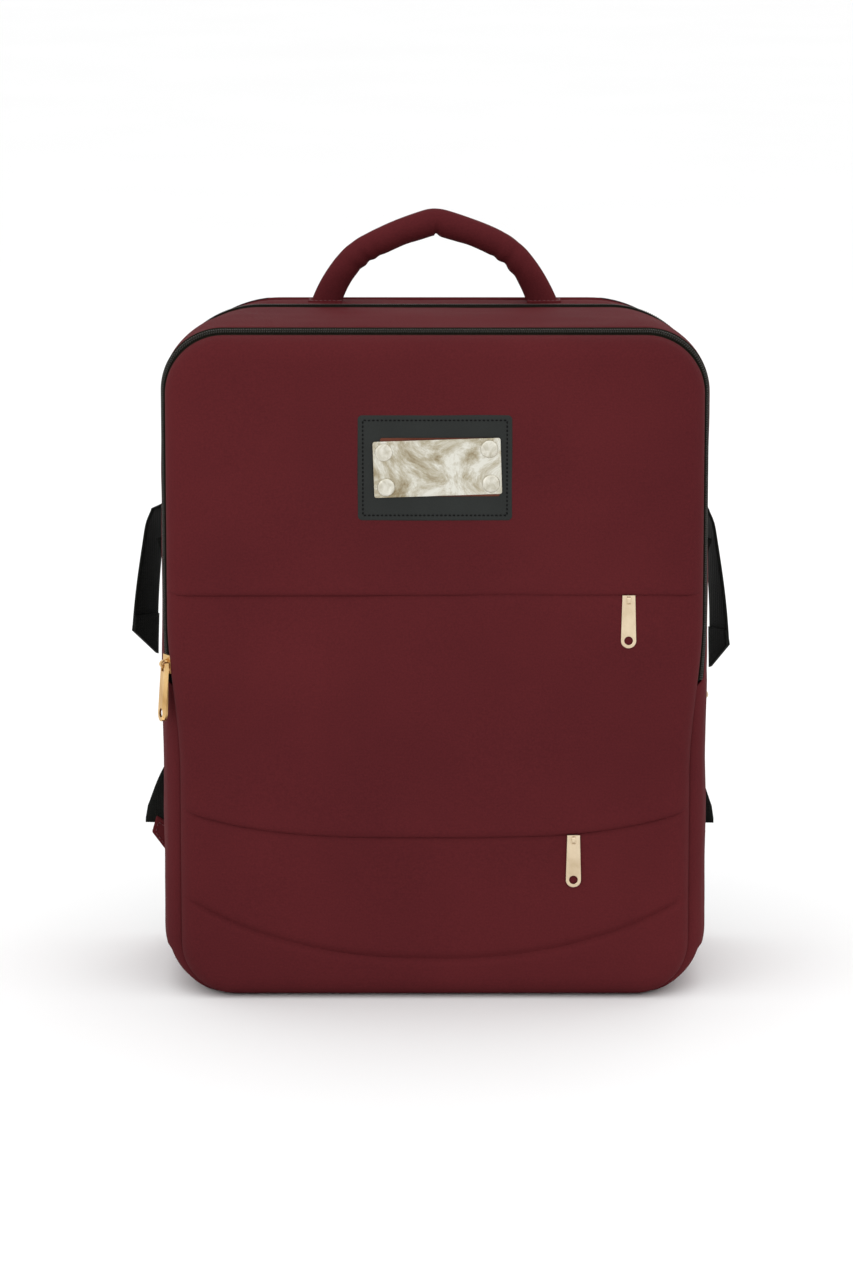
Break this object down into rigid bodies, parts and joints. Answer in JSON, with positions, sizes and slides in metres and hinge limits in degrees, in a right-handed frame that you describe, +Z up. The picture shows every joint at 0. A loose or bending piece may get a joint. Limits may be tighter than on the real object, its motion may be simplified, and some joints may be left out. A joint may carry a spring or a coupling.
{
  "type": "travel backpack",
  "caption": "Box-shaped burgundy travel backpack with a zipped front flap, two front pockets, a laptop compartment, a carry handle and shoulder straps.",
  "frame": {"origin": "on the floor, at the middle of the bag's width and of its depth without the straps", "axes": "+Z up, -Y out of the front face with the pockets, +X to the right as the bag is seen from the front"},
  "size_m": [0.3916, 0.2139, 0.457],
  "materials": {
    "shell_fabric": "matte soft-touch coated twill, burgundy",
    "back_fabric": "matte woven fabric, dark burgundy",
    "mesh_fabric": "black spacer mesh",
    "lining_fabric": "smooth grey lining",
    "zip_coil": "woven tape with nylon coil, dark olive brown",
    "board": "plain polyethylene board",
    "webbing": "black ribbed webbing",
    "leather": "black fine-grain leather",
    "plate_metal": "mottled satin nickel",
    "gold_metal": "satin gold",
    "champagne_metal": "satin champagne",
    "buckle_plastic": "moulded acetal, black",
    "foam_core": "closed-cell foam rod"
  },
  "bodies": {
    "bag": {"base_panel": "back_fabric", "base_stiffener": "board", "main_gusset": "shell_fabric", "main_lining": "lining_fabric", "divider": "lining_fabric", "lower_front_panel": "shell_fabric", "mid_pocket_panel": "shell_fabric", "lower_pocket_panel": "shell_fabric", "lower_pocket_lining": "lining_fabric", "lower_pocket_zip": "zip_coil", "bottom_front_panel": "shell_fabric", "body_zip_tape": "zip_coil", "rear_gusset": "shell_fabric", "rear_zip_front_tape": "zip_coil", "rear_zip_rear_tape": "zip_coil", "back_frame_sheet": "board", "back_panel": "back_fabric", "left_back_pad": "mesh_fabric", "right_back_pad": "mesh_fabric", "lumbar_pad": "mesh_fabric", "laptop_sleeve": "lining_fabric", "strap_yoke": "back_fabric", "handle_end_tabs": "shell_fabric", "left_strap_tab": "shell_fabric", "right_strap_tab": "shell_fabric", "left_lower_webbing": "webbing", "right_lower_webbing": "webbing"},
    "front_flap": {"flap_panel": "shell_fabric", "flap_lining": "lining_fabric", "flap_zip_tape": "zip_coil", "upper_front_panel": "shell_fabric", "upper_pocket_panel": "shell_fabric", "upper_pocket_lining": "lining_fabric", "upper_pocket_zip": "zip_coil", "leather_patch": "leather", "badge_backing": "plate_metal", "badge_plate": "plate_metal", "badge_rivets": "plate_metal"},
    "main_slider": {"main_slider": "gold_metal"},
    "main_puller": {"main_puller": "gold_metal"},
    "upper_slider": {"upper_slider": "champagne_metal"},
    "upper_puller": {"upper_puller": "champagne_metal"},
    "lower_slider": {"lower_slider": "champagne_metal"},
    "lower_puller": {"lower_puller": "champagne_metal"},
    "rear_slider": {"rear_slider": "champagne_metal"},
    "rear_puller": {"rear_puller": "champagne_metal"},
    "carry_handle": {"carry_handle_cover": "shell_fabric", "carry_handle_core": "foam_core"},
    "left_strap": {"left_shoulder_pad": "back_fabric", "left_ladder_lock": "buckle_plastic"},
    "right_strap": {"right_shoulder_pad": "back_fabric", "right_ladder_lock": "buckle_plastic"},
    "left_tail": {"left_webbing_tail": "webbing"},
    "right_tail": {"right_webbing_tail": "webbing"}
  },
  "joints": [
    {"name": "front_flap_hinge", "type": "hinge", "parent": "bag", "child": "front_flap", "pos_m": [0, -0.081, 0.19], "axis": [1, 0, 0], "range_deg": [0, 100]},
    {"name": "main_zip_slide", "type": "slide", "parent": "bag", "child": "main_slider", "axis": [0, 0, 1], "range_m": [0, 0.15]},
    {"name": "main_puller_swing", "type": "hinge", "parent": "main_slider", "child": "main_puller", "pos_m": [-0.16323, -0.06393, 0.203], "axis": [-0.449, 0.8935, 0], "range_deg": [0, 150]},
    {"name": "upper_pocket_slide", "type": "slide", "parent": "front_flap", "child": "upper_slider", "axis": [-1, 0, 0], "range_m": [0, 0.22]},
    {"name": "upper_puller_swing", "type": "hinge", "parent": "upper_slider", "child": "upper_puller", "pos_m": [0.115, -0.0826, 0.2445], "axis": [-1, 0, 0], "range_deg": [0, 90]},
    {"name": "lower_pocket_slide", "type": "slide", "parent": "bag", "child": "lower_slider", "axis": [-1, 0, 0], "range_m": [0, 0.19]},
    {"name": "lower_puller_swing", "type": "hinge", "parent": "lower_slider", "child": "lower_puller", "pos_m": [0.083, -0.0826, 0.0985], "axis": [-1, 0, 0], "range_deg": [0, 90]},
    {"name": "rear_zip_slide", "type": "slide", "parent": "bag", "child": "rear_slider", "axis": [0, 0, 1], "range_m": [0, 0.165]},
    {"name": "rear_puller_swing", "type": "hinge", "parent": "rear_slider", "child": "rear_puller", "pos_m": [0.167, 0.045, 0.161], "axis": [0, -1, 0], "range_deg": [0, 150]},
    {"name": "handle_swing", "type": "hinge", "parent": "bag", "child": "carry_handle", "pos_m": [0, 0.0645, 0.4075], "axis": [1, 0, 0], "range_deg": [-60, 60]},
    {"name": "left_strap_swing", "type": "hinge", "parent": "bag", "child": "left_strap", "pos_m": [-0.05, 0.084, 0.388], "axis": [1, 0, 0], "range_deg": [0, 30], "deforming": ["left_lower_webbing"]},
    {"name": "right_strap_swing", "type": "hinge", "parent": "bag", "child": "right_strap", "pos_m": [0.05, 0.084, 0.388], "axis": [1, 0, 0], "range_deg": [0, 30], "deforming": ["right_lower_webbing"]},
    {"name": "left_tail_swing", "type": "hinge", "parent": "left_strap", "child": "left_tail", "pos_m": [-0.18228, 0.105, 0.26765], "axis": [1, 0, 0], "range_deg": [-20, 20]},
    {"name": "right_tail_swing", "type": "hinge", "parent": "right_strap", "child": "right_tail", "pos_m": [0.18228, 0.105, 0.26765], "axis": [1, 0, 0], "range_deg": [-20, 20]}
  ]
}
